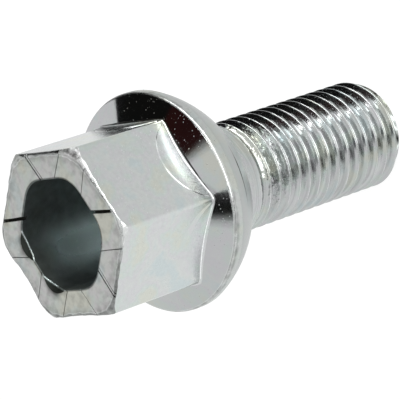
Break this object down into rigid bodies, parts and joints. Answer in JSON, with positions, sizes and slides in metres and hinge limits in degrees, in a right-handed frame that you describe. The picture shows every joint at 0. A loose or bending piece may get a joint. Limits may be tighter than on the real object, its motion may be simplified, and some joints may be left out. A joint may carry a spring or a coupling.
{
  "type": "wheel bolt",
  "caption": "Zinc-plated steel wheel bolt with a hollow-ended hexagon head, a collar with a ball seat and a threaded shank with a chamfered tip.",
  "frame": {"origin": "middle of the flat thread tip, on which the bolt stands", "axes": "+Z along the bolt's axis from the thread tip to the head's end face; one corner of the hexagon on +X, so two flats face -Y and +Y"},
  "size_m": [0.0232, 0.0232, 0.0455],
  "materials": {
    "zinc_plated_steel": "bright zinc plate over forged steel, satin on the head and shiny on the thread"
  },
  "bodies": {
    "root": {"wheel_bolt": "zinc_plated_steel"}
  },
  "joints": []
}
